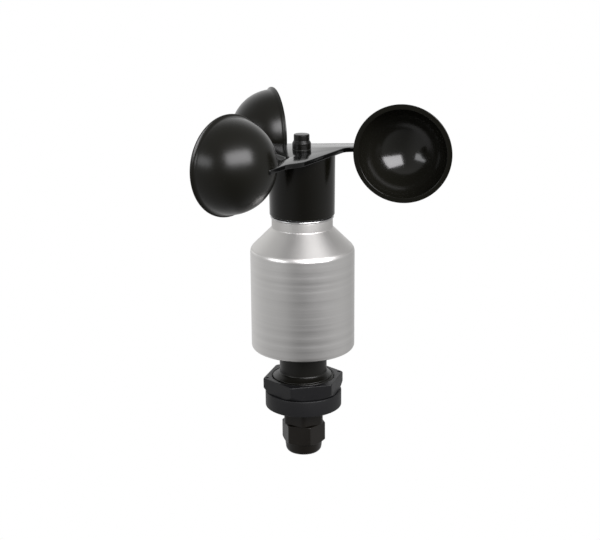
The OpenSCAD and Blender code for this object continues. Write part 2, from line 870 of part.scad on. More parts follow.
cap_nut();
cap_washer();
rotor_hub();
cup(0);  // cup_1
cup(1);  // cup_2
cup(2);  // cup_3
drive_pin();
shaft();
hub_shim();
bearing_inner(upper_z);  // upper_bearing_inner
bearing_outer(upper_z);  // upper_bearing_outer
bearing_balls(upper_z);  // upper_bearing_balls
bearing_cage(upper_z);  // upper_bearing_cage
bearing_shields(upper_z);  // upper_bearing_shields
bore_circlip(upper_z + bearing_w);  // upper_circlip
bearing_spacer();
bearing_inner(lower_z);  // lower_bearing_inner
bearing_outer(lower_z);  // lower_bearing_outer
bearing_balls(lower_z);  // lower_bearing_balls
bearing_cage(lower_z);  // lower_bearing_cage
bearing_shields(lower_z);  // lower_bearing_shields
bore_circlip(lower_z - spring_t - clip_t);  // lower_circlip
wave_spring();
shaft_circlip();
bearing_tube();
tube_screws();
labyrinth_ring();
housing_shell();
disc_hub();
disc_grub_screw();
slotted_disc();
opto_fork();
circuit_board();
board_pillars();
board_screws();
driver_chip();
capacitors();
surge_arresters();
terminal_block();
terminal_screws();
base_stem();
base_o_ring();
stem_gasket();
lock_nut();
gland_adapter();
gland_gasket();
gland_body();
gland_seal();
gland_dome_nut();
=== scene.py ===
# Cup anemometer: the finished look of every piece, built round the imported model.
# The sections follow the order in which the instrument is put together at the bench.
import math

import bmesh
import bpy
from mathutils import Matrix, Vector


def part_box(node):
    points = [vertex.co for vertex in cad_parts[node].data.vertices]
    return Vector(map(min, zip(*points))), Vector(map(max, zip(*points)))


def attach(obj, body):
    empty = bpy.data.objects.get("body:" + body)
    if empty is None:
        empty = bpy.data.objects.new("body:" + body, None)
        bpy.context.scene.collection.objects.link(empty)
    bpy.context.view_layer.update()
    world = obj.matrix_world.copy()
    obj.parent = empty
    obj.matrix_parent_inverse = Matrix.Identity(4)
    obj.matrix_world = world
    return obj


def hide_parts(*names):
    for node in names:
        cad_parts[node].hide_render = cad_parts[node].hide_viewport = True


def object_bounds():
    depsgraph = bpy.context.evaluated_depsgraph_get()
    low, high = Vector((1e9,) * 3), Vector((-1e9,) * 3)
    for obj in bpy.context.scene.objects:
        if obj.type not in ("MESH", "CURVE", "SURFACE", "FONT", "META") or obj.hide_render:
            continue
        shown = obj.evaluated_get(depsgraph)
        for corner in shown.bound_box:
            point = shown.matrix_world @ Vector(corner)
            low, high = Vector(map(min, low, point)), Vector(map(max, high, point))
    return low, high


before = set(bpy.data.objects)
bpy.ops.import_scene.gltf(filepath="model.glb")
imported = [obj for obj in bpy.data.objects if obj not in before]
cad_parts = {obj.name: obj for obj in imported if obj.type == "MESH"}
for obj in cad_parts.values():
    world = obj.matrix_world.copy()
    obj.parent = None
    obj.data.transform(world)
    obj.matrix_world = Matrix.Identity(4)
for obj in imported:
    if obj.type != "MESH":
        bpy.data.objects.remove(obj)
cad_low, cad_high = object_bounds()


# ---------- Photographer's table ----------
# A pale floor, one large soft box to the right of the camera, a small one to its left,
# and a bright wall behind the instrument. None of it belongs to the instrument.

VIEW_TURN = math.radians(13.4)
CAMERA_DISTANCE = 0.59
CAMERA_HEIGHT = 0.2067
CAMERA_DIP = math.radians(16.04)
CAMERA_ROLL = math.radians(-0.4)
SENSOR_WIDTH = 36
LENS = 80.93
LENS_SHIFT = -0.00427
BOX_DISTANCE = 1.3
INSTRUMENT_MIDDLE = Vector((0, 0, 0.075))
ROOM_WHITE = (1.0, 1.0, 1.0, 1.0)


def facing_camera(turn, height):
    """Unit vector from the instrument, turn degrees right of the camera and height degrees up."""
    a = VIEW_TURN + math.radians(turn)
    e = math.radians(height)
    return Vector((math.sin(a) * math.cos(e), -math.cos(a) * math.cos(e), math.sin(e)))


def soft_box(name, turn, height, width, tall, radiance, colour):
    """Rectangular soft box, given in degrees as the instrument sees it."""
    light = bpy.data.lights.new(name, "AREA")
    light.shape = "RECTANGLE"
    light.size = 2 * BOX_DISTANCE * math.tan(math.radians(width / 2))
    light.size_y = 2 * BOX_DISTANCE * math.tan(math.radians(tall / 2))
    light.energy = radiance * math.pi * light.size * light.size_y
    light.color = colour
    lamp = bpy.data.objects.new(name, light)
    aim = facing_camera(turn, height)
    lamp.location = INSTRUMENT_MIDDLE + aim * BOX_DISTANCE
    lamp.rotation_euler = aim.to_track_quat("Z", "Y").to_euler()
    bpy.context.scene.collection.objects.link(lamp)


soft_box("key_soft_box", 30, 29, 58, 28, 12.0, (0.99, 0.98, 1.0))
soft_box("side_soft_box", -56, 16, 34, 16, 5.0, (0.97, 0.98, 1.0))

camera_data = bpy.data.cameras.new("camera")
camera_data.sensor_width = SENSOR_WIDTH
camera_data.lens = LENS
camera_data.shift_x = LENS_SHIFT
camera = bpy.data.objects.new("camera", camera_data)
camera.location = (
    CAMERA_DISTANCE * math.sin(VIEW_TURN),
    -CAMERA_DISTANCE * math.cos(VIEW_TURN),
    CAMERA_HEIGHT,
)
aim_matrix = (Matrix.Rotation(VIEW_TURN, 3, "Z")
              @ Matrix.Rotation(math.pi / 2 - CAMERA_DIP, 3, "X"))
camera.rotation_euler = (aim_matrix @ Matrix.Rotation(CAMERA_ROLL, 3, "Z")).to_euler()
bpy.context.scene.collection.objects.link(camera)
bpy.context.scene.camera = camera
bpy.context.scene.view_settings.view_transform = "Standard"


# How bright the screens round the table are, by direction: degrees right of the camera.
SCREENS = ((-180, 0.80), (-121, 0.70), (-79, 0.50), (-33, 0.40), (-14, 0.24), (0, 0.20),
           (25, 0.22), (60, 0.45), (95, 0.58), (130, 0.42), (155, 0.55), (180, 0.80))

# Grey of the ceiling, and the sines of the heights between which it takes over.
CEILING = 0.52
CEILING_EDGE = (0.6, 0.9)

# Grey of the bright wall, the direction opposite its middle, and the cosines of the angles
# from that middle between which it takes over.
WALL = 1.12
WALL_AIM = (15, -12)
WALL_EDGE = (0.55, 0.95)


def grey_ramp(tree, stops, smooth):
    """Colour ramp of greys from (position, grey) stops."""
    ramp = tree.nodes.new("ShaderNodeValToRGB")
    ramp.color_ramp.interpolation = smooth
    while len(ramp.color_ramp.elements) < len(stops):
        ramp.color_ramp.elements.new(0.5)
    for element, (at, grey) in zip(ramp.color_ramp.elements, stops):
        element.position = at
        element.color = (grey, grey, grey, 1)
    return ramp


def screens(tree, vector):
    """Brightness of the screens in the direction of a vector."""
    parts = []
    for turn in (90, 0):
        part = tree.nodes.new("ShaderNodeVectorMath")
        part.operation = "DOT_PRODUCT"
        part.inputs[1].default_value = facing_camera(turn, 0)
        tree.links.new(vector, part.inputs[0])
        parts.append(part.outputs["Value"])
    angle = tree.nodes.new("ShaderNodeMath")
    angle.operation = "ARCTAN2"
    tree.links.new(parts[0], angle.inputs[0])
    tree.links.new(parts[1], angle.inputs[1])
    share = tree.nodes.new("ShaderNodeMath")
    share.operation = "MULTIPLY_ADD"
    share.inputs[1].default_value = 0.5 / math.pi
    share.inputs[2].default_value = 0.5
    ramp = grey_ramp(tree, [(turn / 360 + 0.5, grey) for turn, grey in SCREENS], "B_SPLINE")
    tree.links.new(angle.outputs[0], share.inputs[0])
    tree.links.new(share.outputs[0], ramp.inputs["Fac"])
    return ramp.outputs["Color"]


def blend(tree, factor, a, b):
    """Mix of two colours, each a tuple or another node's output; gives its output."""
    node = tree.nodes.new("ShaderNodeMix")
    node.data_type = "RGBA"
    tree.links.new(factor, node.inputs["Factor"])
    for socket, value in ((node.inputs[6], a), (node.inputs[7], b)):
        if isinstance(value, tuple):
            socket.default_value = value
        else:
            tree.links.new(value, socket)
    return node.outputs[2]


def rise(tree, value, edge):
    """0 below the edge's first number and 1 past its second, smooth between."""
    ramp = grey_ramp(tree, [(0.0, 0.0), (edge[0], 0.0), (edge[1], 1.0)], "EASE")
    tree.links.new(value, ramp.inputs["Fac"])
    return ramp.outputs["Color"]


def build_room():
    """White to the camera; to the instrument, screens all round and a bright wall behind."""
    world = bpy.data.worlds.new("room")
    bpy.context.scene.world = world
    world.use_nodes = True
    tree = world.node_tree
    tree.nodes.clear()
    place = tree.nodes.new("ShaderNodeTexCoord").outputs["Generated"]
    behind = tree.nodes.new("ShaderNodeVectorMath")
    behind.operation = "DOT_PRODUCT"
    behind.inputs[1].default_value = -facing_camera(*WALL_AIM)
    height = tree.nodes.new("ShaderNodeSeparateXYZ")
    path = tree.nodes.new("ShaderNodeLightPath")
    shade = tree.nodes.new("ShaderNodeBackground")
    out = tree.nodes.new("ShaderNodeOutputWorld")
    tree.links.new(place, behind.inputs[0])
    tree.links.new(place, height.inputs[0])
    grey = blend(tree, rise(tree, height.outputs["Z"], CEILING_EDGE), screens(tree, place),
                 (CEILING, CEILING, CEILING, 1))
    grey = blend(tree, rise(tree, behind.outputs["Value"], WALL_EDGE), grey, (WALL, WALL, WALL, 1))
    grey = blend(tree, path.outputs["Is Camera Ray"], grey, ROOM_WHITE)
    tree.links.new(grey, shade.inputs["Color"])
    tree.links.new(shade.outputs["Background"], out.inputs["Surface"])


FLOOR_REACH = 12
FLOOR_GAP = 0.0002


def build_floor():
    """Pale sheet under the gland, wide enough to reach past every view."""
    z = cad_low.z - FLOOR_GAP
    corners = [(x * FLOOR_REACH, y * FLOOR_REACH, z)
               for x, y in ((-1, -1), (1, -1), (1, 1), (-1, 1))]
    mesh = bpy.data.meshes.new("floor")
    mesh.from_pydata(corners, [], [(0, 1, 2, 3)])
    floor = bpy.data.objects.new("floor", mesh)
    bpy.context.scene.collection.objects.link(floor)
    paper = bpy.data.materials.new("floor_paper")
    paper.use_nodes = True
    tree = paper.node_tree
    tree.nodes.remove(tree.nodes["Principled BSDF"])
    place = tree.nodes.new("ShaderNodeTexCoord")
    path = tree.nodes.new("ShaderNodeLightPath")
    glow = tree.nodes.new("ShaderNodeEmission")
    grey = blend(tree, path.outputs["Is Camera Ray"], screens(tree, place.outputs["Object"]),
                 ROOM_WHITE)
    tree.links.new(grey, glow.inputs["Color"])
    tree.links.new(glow.outputs["Emission"], tree.nodes["Material Output"].inputs["Surface"])
    mesh.materials.append(paper)


build_room()
build_floor()


# ---------- Base plug and stem ----------
# One black nylon moulding: a plug that goes up into the housing, a thin flange that
# closes it, a plain neck that the bracket fits round, and a coarse rolled-edge thread.

MM = 0.001
ROUND = 160  # points round a turned piece
SHARP = 32  # degrees past which an edge is shaded sharp
NECK_R = 10.9 * MM
NECK_LENGTH = 11.3 * MM
CONE_R = 12.8 * MM
CONE_LENGTH = 1.2 * MM
THREAD_R = 14.15 * MM
LEAD_LENGTH = 1.05 * MM
THREAD_PITCH = 1.588 * MM
THREAD_DEPTH = 0.72 * MM
PLUG_R = 19.48 * MM
PLUG_WALL = 2.4 * MM
STEM_BORE_R = 8.2 * MM
PLUG_FLOOR_Z = 3 * MM
FLANGE_T = 0.5 * MM
GROOVE_LOW_Z = 6.65 * MM
GROOVE_TOP_Z = 8.35 * MM
GROOVE_DEPTH = 1.5 * MM
ON_AXIS = 1e-7  # metres from the axis within which a point counts as on it
SAME_PLACE = 2e-7  # metres within which two points are merged


def eased(corners, steps=5):
    """Outline through corners given as (radius, height, rounding), each rounding as an arc."""
    outline = []
    for i, (r, z, rounding) in enumerate(corners):
        here = Vector((r, z))
        if rounding == 0:
            outline.append(here)
            continue
        onward = (here - Vector(corners[i - 1][:2])).normalized()
        away = (Vector(corners[(i + 1) % len(corners)][:2]) - here).normalized()
        bend = onward.angle_signed(away)
        start = here - onward * rounding * math.tan(abs(bend) / 2)
        side = -math.copysign(1, bend)
        centre = start + Vector((-onward.y, onward.x)) * rounding * side
        spoke = start - centre
        for k in range(steps + 1):
            turn = side * abs(bend) * k / steps
            c, s = math.cos(turn), math.sin(turn)
            outline.append(centre + Vector((spoke.x * c - spoke.y * s, spoke.x * s + spoke.y * c)))
    return outline


def finely(outline, step):
    """The same outline with its long stretches divided."""
    fine = []
    for here, after in zip(outline, outline[1:] + outline[:1]):
        count = max(1, math.ceil((after - here).length / step))
        fine.extend(here.lerp(after, k / count) for k in range(count))
    return fine


def piece_from(shell, name):
    """Object holding a finished bmesh."""
    mesh = bpy.data.meshes.new(name)
    shell.to_mesh(mesh)
    shell.free()
    piece = bpy.data.objects.new(name, mesh)
    bpy.context.scene.collection.objects.link(piece)
    return piece


def skin(name, rings, sharp):
    """Closed mesh through rings of points, the last ring joined back to the first."""
    shell = bmesh.new()
    rows = [[shell.verts.new(p) for p in ring] for ring in rings]
    count = len(rings[0])
    for low, high in zip(rows, rows[1:] + rows[:1]):
        if all(math.hypot(v.co.x, v.co.y) < ON_AXIS for v in (low[0], low[1], high[0], high[1])):
            continue
        for k in range(count):
            shell.faces.new((low[k], low[(k + 1) % count], high[(k + 1) % count], high[k]))
    bmesh.ops.remove_doubles(shell, verts=shell.verts, dist=SAME_PLACE)
    bmesh.ops.recalc_face_normals(shell, faces=shell.faces)
    for face in shell.faces:
        face.smooth = True
    piece = piece_from(shell, name)
    piece.data.set_sharp_from_angle(angle=math.radians(sharp))
    return piece


def turned(name, outline, shape=None, around=ROUND, sharp=SHARP):
    """Piece turned about the rotor's axis; shape(r, z, angle) may vary its radius."""
    rings = []
    for r, z in outline:
        ring = []
        for k in range(around):
            a = 2 * math.pi * k / around
            reach = shape(r, z, a) if shape else r
            ring.append((reach * math.cos(a), reach * math.sin(a), z))
        rings.append(ring)
    return skin(name, rings, sharp)


def thread_cut(z, angle, pitch, depth):
    """How deep a right-hand thread of rounded V form lies below its crest."""
    phase = (z / pitch - angle / (2 * math.pi)) % 1.0
    return depth * (0.5 - 0.5 * math.cos(2 * math.pi * phase)) ** 0.8


def fade(value, start, end):
    """0 before start, 1 past end, and a smooth rise between."""
    t = min(1.0, max(0.0, (value - start) / (end - start)))
    return t * t * (3 - 2 * t)


def value_group(name, inputs):
    """Shader node group with inputs (name, default) and a colour, roughness and height out."""
    group = bpy.data.node_groups.new(name, "ShaderNodeTree")
    for label, default in inputs:
        kind = "NodeSocketColor" if isinstance(default, tuple) else "NodeSocketFloat"
        socket = group.interface.new_socket(label, in_out="INPUT", socket_type=kind)
        socket.default_value = default
    for label, kind in (("Colour", "NodeSocketColor"), ("Roughness", "NodeSocketFloat"),
                        ("Height", "NodeSocketFloat")):
        group.interface.new_socket(label, in_out="OUTPUT", socket_type=kind)
    return group, group.nodes.new("NodeGroupInput"), group.nodes.new("NodeGroupOutput")


def calc(tree, operation, a, b=0.5, c=0.5):
    """Math node whose inputs are numbers or other nodes' outputs; gives its output."""
    node = tree.nodes.new("ShaderNodeMath")
    node.operation = operation
    for socket, value in zip(node.inputs, (a, b, c)):
        if isinstance(value, (int, float)):
            socket.default_value = value
        else:
            tree.links.new(value, socket)
    return node.outputs[0]


def noise(tree, vector, scale, detail=3.0, roughness=0.55):
    """Noise texture over a vector; gives its value."""
    node = tree.nodes.new("ShaderNodeTexNoise")
    node.inputs["Detail"].default_value = detail
    node.inputs["Roughness"].default_value = roughness
    if isinstance(scale, (int, float)):
        node.inputs["Scale"].default_value = scale
    else:
        tree.links.new(scale, node.inputs["Scale"])
    tree.links.new(vector, node.inputs["Vector"])
    return node.outputs["Fac"]


SPECK_CUT = 0.745  # noise above this shows as a speck of dust
SPECK_TINT = (0.035, 0.033, 0.030, 1)


def build_moulded_grain():
    """Spark-eroded mould texture with slow flow marks and scattered specks of dust."""
    group, given, made = value_group(
        "moulded_grain",
        [("Colour", (0.02, 0.02, 0.02, 1)), ("Roughness", 0.4), ("Grain Size", 4200.0),
         ("Grain", 0.5), ("Flow", 0.1), ("Dust", 0.1)],
    )
    link = group.links.new
    place = group.nodes.new("ShaderNodeTexCoord").outputs["Object"]
    grain = noise(group, place, given.outputs["Grain Size"], 2.0, 0.6)
    flow = noise(group, place, 55.0, 4.0, 0.5)
    specks = noise(group, place, 950.0, 1.0, 0.4)
    speck_mask = calc(group, "MULTIPLY", calc(group, "GREATER_THAN", specks, SPECK_CUT),
                      given.outputs["Dust"])
    haze = calc(group, "MULTIPLY", calc(group, "SUBTRACT", flow, 0.5), given.outputs["Flow"])
    rough = calc(group, "ADD", given.outputs["Roughness"], haze)
    rough = calc(group, "MULTIPLY_ADD", speck_mask, 0.3, rough)
    rough = calc(group, "MULTIPLY_ADD", calc(group, "SUBTRACT", grain, 0.5),
                 calc(group, "MULTIPLY", given.outputs["Grain"], 0.16), rough)
    tint = blend(group, calc(group, "MULTIPLY", speck_mask, 0.5), given.outputs["Colour"],
                 SPECK_TINT)
    link(tint, made.inputs["Colour"])
    link(rough, made.inputs["Roughness"])
    link(calc(group, "MULTIPLY", grain, given.outputs["Grain"]), made.inputs["Height"])
    return group


moulded_grain = build_moulded_grain()


def textured(name, group, settings, strength, depth):
    """Material whose colour, roughness and relief come from a shader node group."""
    material = bpy.data.materials.new(name)
    material.use_nodes = True
    tree = material.node_tree
    shader = tree.nodes["Principled BSDF"]
    texture = tree.nodes.new("ShaderNodeGroup")
    texture.node_tree = group
    for label, value in settings.items():
        texture.inputs[label].default_value = value
    relief = tree.nodes.new("ShaderNodeBump")
    relief.inputs["Strength"].default_value = strength
    relief.inputs["Distance"].default_value = depth * MM
    tree.links.new(texture.outputs["Colour"], shader.inputs["Base Color"])
    tree.links.new(texture.outputs["Roughness"], shader.inputs["Roughness"])
    tree.links.new(texture.outputs["Height"], relief.inputs["Height"])
    tree.links.new(relief.outputs["Normal"], shader.inputs["Normal"])
    return material, shader


def moulded(name, colour, roughness, grain=0.5, grain_size=4200, flow=0.1, dust=0.1, bump=0.02,
            shine=0.3):
    """Moulded plastic with the mould's own texture; bump is its depth in millimetres."""
    material, shader = textured(name, moulded_grain, {
        "Colour": (*colour, 1), "Roughness": roughness, "Grain Size": grain_size,
        "Grain": grain, "Flow": flow, "Dust": dust,
    }, strength=0.6, depth=bump)
    shader.inputs["IOR"].default_value = 1.5
    shader.inputs["Specular IOR Level"].default_value = shine
    return material


def clothe(material, *nodes):
    """Gives CAD pieces, whose shapes are right as they are, their finish."""
    for node in nodes:
        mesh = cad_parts[node].data
        mesh.materials.clear()
        mesh.materials.append(material)


stem_nylon = moulded("stem_nylon", (0.0028, 0.0026, 0.0018), 0.36, grain=0.7, bump=0.03)

stem_low, stem_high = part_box("base_stem")


def stem_radius(r, z, angle):
    """Cuts the thread into the outside of the stem, fading out up the cone."""
    inside = r < NECK_R - 0.5 * MM
    if z > -NECK_LENGTH or inside:
        return r
    full = fade(-z, NECK_LENGTH + 0.8 * MM, NECK_LENGTH + CONE_LENGTH + LEAD_LENGTH)
    end = fade(z, stem_low.z, stem_low.z + THREAD_PITCH)
    return r - thread_cut(z, angle, THREAD_PITCH, THREAD_DEPTH) * (0.35 + 0.65 * full) * end


def build_stem():
    cone_top = -NECK_LENGTH
    cone_foot = cone_top - CONE_LENGTH
    lead_foot = cone_foot - LEAD_LENGTH
    flange_r = stem_high.x
    plug_top = stem_high.z
    groove_r = PLUG_R - GROOVE_DEPTH
    cavity_r = PLUG_R - PLUG_WALL
    outline = eased([
        (STEM_BORE_R, stem_low.z, 0.3 * MM),
        (THREAD_R, stem_low.z, 0.4 * MM),
        (THREAD_R, lead_foot, 0.3 * MM),
        (CONE_R, cone_foot, 0.3 * MM),
        (NECK_R, cone_top, 0.8 * MM),
        (NECK_R, 0, 1.0 * MM),
        (flange_r, 0, 0.12 * MM),
        (flange_r, FLANGE_T, 0.1 * MM),
        (PLUG_R, FLANGE_T, 0.05 * MM),
        (PLUG_R, GROOVE_LOW_Z, 0.1 * MM),
        (groove_r, GROOVE_LOW_Z, 0.1 * MM),
        (groove_r, GROOVE_TOP_Z, 0.1 * MM),
        (PLUG_R, GROOVE_TOP_Z, 0.1 * MM),
        (PLUG_R, plug_top, 0.5 * MM),
        (cavity_r, plug_top, 0.3 * MM),
        (cavity_r, PLUG_FLOOR_Z, 0.6 * MM),
        (STEM_BORE_R, PLUG_FLOOR_Z, 0.3 * MM),
    ])
    return turned("base_stem_moulding", finely(outline, 0.16 * MM), stem_radius, sharp=55)


stem = build_stem()
stem.data.materials.append(stem_nylon)
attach(stem, "frame")
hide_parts("base_stem")


# ---------- Seals in the base ----------
# A nitrile O-ring rolled into the plug's groove, and flat rubber rings at the stem's foot
# and over the gland's collar. All are bought in, with a dull talc-dusted skin.

seal_rubber = moulded("seal_rubber", (0.008, 0.008, 0.008), 0.62, grain=0.9, grain_size=2600,
                      flow=0.2, dust=0.35, bump=0.03)

clothe(seal_rubber, "base_o_ring", "stem_gasket", "gland_gasket")


# ---------- Gland adapter ----------
# A black nylon cap screwed on the stem's end, with a threaded hole for the cable gland.
# It is moulded, smooth outside, with a small chamfer at its lower edge.

adapter_nylon = moulded("adapter_nylon", (0.0040, 0.0040, 0.0046), 0.50, grain=0.8, bump=0.035,
                        flow=0.16, dust=0.2)


SCREWED_BORE = THREAD_R + 0.02 * MM  # bore of the pieces that screw on the stem
ADAPTER_HOLE = 7.62 * MM
ADAPTER_FLOOR = 2.3 * MM
ADAPTER_CHAMFER = (0.6 * MM, 0.4 * MM)  # inwards and upwards


def build_adapter():
    low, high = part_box("gland_adapter")
    rim = high.x
    floor_top = low.z + ADAPTER_FLOOR
    outline = eased([
        (ADAPTER_HOLE, low.z, 0.25 * MM),
        (rim - ADAPTER_CHAMFER[0], low.z, 0.3 * MM),
        (rim, low.z + ADAPTER_CHAMFER[1], 0.4 * MM),
        (rim, high.z, 0.4 * MM),
        (SCREWED_BORE, high.z, 0.2 * MM),
        (SCREWED_BORE, floor_top, 0.2 * MM),
        (ADAPTER_HOLE, floor_top, 0.1 * MM),
    ])
    return turned("gland_adapter_cap", outline)


adapter = build_adapter()
adapter.data.materials.append(adapter_nylon)
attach(adapter, "frame")
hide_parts("gland_adapter")


# ---------- Lock nut ----------
# A thin hexagonal nut of glass-filled nylon that draws the bracket up to the housing.
# It is moulded with chamfered lower corners and two pockets for a pin spanner.

HEX_SIDES = 6
HEX_AROUND = 264  # points round a hexagonal piece
SAME_HEIGHT = 1e-7
CORNER_BLEND = 0.35 * MM
LEVEL = 0.9999  # upward share of a normal past which a face counts as level


def soft_least(a, b, blend):
    """The smaller of two lengths, with the corner between them rounded."""
    h = min(1.0, max(0.0, 0.5 + 0.5 * (b - a) / blend))
    return b + (a - b) * h - blend * h * (1 - h)


def hexagonal(flats, first_corner, low, high, core, rims, edge=0.3 * MM):
    """Shape for turned(): from low to high, what lies outside core becomes a hexagon.

    The rims are the radii of the outline where it meets the flat faces at low and high.
    """
    side = 2 * math.pi / HEX_SIDES

    def shape(r, z, angle):
        if not low - SAME_HEIGHT <= z <= high + SAME_HEIGHT or r <= core:
            return r
        depth = min(z - low, high - z)
        inset = 0
        if depth < edge:
            inset = edge - math.sqrt(max(0.0, edge * edge - (edge - depth) ** 2))
        across = (angle - first_corner) % side - side / 2
        flat = (flats / 2 - inset) / math.cos(across)
        if depth > SAME_HEIGHT:
            return soft_least(r, flat, CORNER_BLEND)
        rim = rims[0] if z - low < SAME_HEIGHT else rims[1]
        reach = soft_least(rim, flat, CORNER_BLEND)
        return core + (r - core) * (reach - core) / (rim - core)

    return shape


def carve(piece, cutter, operation="DIFFERENCE"):
    """Cuts cutter out of piece, or joins it on, and deletes the cutter."""
    cut = piece.modifiers.new("carve", "BOOLEAN")
    cut.operation = operation
    cut.solver = "EXACT"
    cut.object = cutter
    bpy.context.view_layer.update()
    depsgraph = bpy.context.evaluated_depsgraph_get()
    mesh = bpy.data.meshes.new_from_object(piece.evaluated_get(depsgraph))
    piece.modifiers.clear()
    old = piece.data
    piece.data = mesh
    bpy.data.meshes.remove(old)
    spent = cutter.data
    bpy.data.objects.remove(cutter)
    bpy.data.meshes.remove(spent)


def plug_at(x, y, z0, z1, r, around=32):
    """Round cutter standing at (x, y)."""
    shell = bmesh.new()
    low, high = [[shell.verts.new((x + r * math.cos(2 * math.pi * k / around),
                                   y + r * math.sin(2 * math.pi * k / around), z))
                  for k in range(around)] for z in (z0, z1)]
    for k in range(around):
        after = (k + 1) % around
        shell.faces.new((low[k], low[after], high[after], high[k]))
    shell.faces.new(low[::-1])
    shell.faces.new(high)
    bmesh.ops.recalc_face_normals(shell, faces=shell.faces)
    return piece_from(shell, "cutter")


def finish_faces(piece):
    """Smooth shading on every face but the level ones, which stay plane."""
    mesh = piece.data
    for face in mesh.polygons:
        face.use_smooth = abs(face.normal.z) <= LEVEL
    mesh.set_sharp_from_angle(angle=math.radians(SHARP))


nut_nylon = moulded("nut_nylon", (0.0042, 0.0042, 0.0048), 0.42, grain=1.0, grain_size=3600,
                    bump=0.04, flow=0.2, dust=0.2)

NUT_TURN = math.radians(26)
NUT_FLATS = 32.9 * MM
POCKET_RING = 17.1 * MM
POCKET_R = 0.8 * MM
POCKET_DEPTH = 1.5 * MM
LOWER_CHAMFER = (1.95 * MM, 2.2 * MM)  # inwards and upwards
UPPER_CHAMFER = (0.5 * MM, 0.4 * MM)
NUT_LEAD = (0.6 * MM, 0.5 * MM)  # chamfer at the mouth of the thread


def build_lock_nut():
    low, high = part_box("lock_nut")
    corner = NUT_FLATS / 2 / math.cos(math.pi / HEX_SIDES)
    rims = (corner - LOWER_CHAMFER[0], corner - UPPER_CHAMFER[0])
    core = SCREWED_BORE + 0.7 * MM
    outline = eased([
        (SCREWED_BORE, low.z, 0.3 * MM),
        (rims[0], low.z, 0),
        (corner, low.z + LOWER_CHAMFER[1], 0.5 * MM),
        (corner, high.z - UPPER_CHAMFER[1], 0.2 * MM),
        (rims[1], high.z, 0),
        (SCREWED_BORE + NUT_LEAD[0], high.z, 0.1 * MM),
        (SCREWED_BORE, high.z - NUT_LEAD[1], 0.1 * MM),
    ])
    shape = hexagonal(NUT_FLATS, NUT_TURN, low.z, high.z, core, rims)
    nut = turned("lock_nut_moulding", finely(outline, 0.22 * MM), shape, HEX_AROUND)
    for a in (NUT_TURN, NUT_TURN + math.pi):
        cutter = plug_at(POCKET_RING * math.cos(a), POCKET_RING * math.sin(a),
                         high.z - POCKET_DEPTH, high.z + MM, POCKET_R)
        carve(nut, cutter)
    finish_faces(nut)
    return nut


lock_nut = build_lock_nut()
lock_nut.data.materials.clear()
lock_nut.data.materials.append(nut_nylon)
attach(lock_nut, "frame")
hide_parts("lock_nut")


# ---------- Cable gland ----------
# A bought polyamide gland: a hexagonal body with clamping claws, a soft rubber seal in
# them, and a hexagonal dome nut that squeezes the seal on the cable. All are moulded.

GLAND_FLATS = 18 * MM
GLAND_CORNER = GLAND_FLATS / 2 / math.cos(math.pi / HEX_SIDES)
GLAND_THREAD_R = 7.6 * MM
DOME_THREAD_R = 8.1 * MM
GLAND_BORE = 5.2 * MM
GLAND_PITCH = 1.41 * MM
GLAND_THREAD_DEPTH = 0.5 * MM
COLLAR_TURN = math.radians(43)
COLLAR_HEIGHT = 7.45 * MM
DOME_HEX_HEIGHT = 9.4 * MM
SEAL_OUT = 6.1 * MM
SEAL_MOUTH = 4.7 * MM
SEAL_STEP = 2.35 * MM
CLAW_WALL = 1.2 * MM
CLAW_HEIGHT = 6.95 * MM  # from the dome nut's foot up to the body's thread
SOCKET_DEPTH = 4.4 * MM  # of the seal's socket above the foot of that thread
CABLE_R = 3.1 * MM

gland_nylon = moulded("gland_nylon", (0.0040, 0.0030, 0.0020), 0.38, grain=0.8, bump=0.03,
                      flow=0.15, dust=0.15)


def build_gland_body():
    low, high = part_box("gland_body")
    collar_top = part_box("gland_gasket")[0].z
    collar_low = collar_top - COLLAR_HEIGHT
    thread_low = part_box("gland_dome_nut")[0].z + CLAW_HEIGHT
    socket_r = SEAL_OUT + 0.1 * MM
    socket_top = thread_low + SOCKET_DEPTH
    claw_r = SEAL_OUT + CLAW_WALL
    rim = GLAND_CORNER - 0.45 * MM
    outline = eased([
        (GLAND_BORE, high.z, 0.2 * MM),
        (GLAND_BORE, socket_top, 0),
        (socket_r, socket_top, 0),
        (socket_r, low.z, 0.15 * MM),
        (claw_r, low.z, 0.3 * MM),
        (claw_r, thread_low, 0.1 * MM),
        (DOME_THREAD_R, thread_low, 0.3 * MM),
        (DOME_THREAD_R, collar_low, 0.1 * MM),
        (rim, collar_low, 0),
        (rim, collar_top, 0),
        (GLAND_THREAD_R, collar_top, 0.1 * MM),
        (GLAND_THREAD_R, high.z, 0.4 * MM),
    ])

    shape = hexagonal(GLAND_FLATS, COLLAR_TURN, collar_low, collar_top,
                      DOME_THREAD_R + 0.2 * MM, (rim, rim), edge=0.25 * MM)

    def threaded(r, z, angle):
        """Threads above and below the collar, and the hexagon between them."""
        reach = shape(r, z, angle)
        upper = z > collar_top + 0.1 * MM and r > GLAND_THREAD_R - 0.5 * MM
        lower = (thread_low + 0.3 * MM < z < collar_low - 0.1 * MM
                 and r > DOME_THREAD_R - 0.4 * MM)
        if upper or lower:
            reach -= thread_cut(z, angle, GLAND_PITCH, GLAND_THREAD_DEPTH)
        return reach

    return turned("gland_body_moulding", finely(outline, 0.2 * MM), threaded, HEX_AROUND,
                  sharp=50)


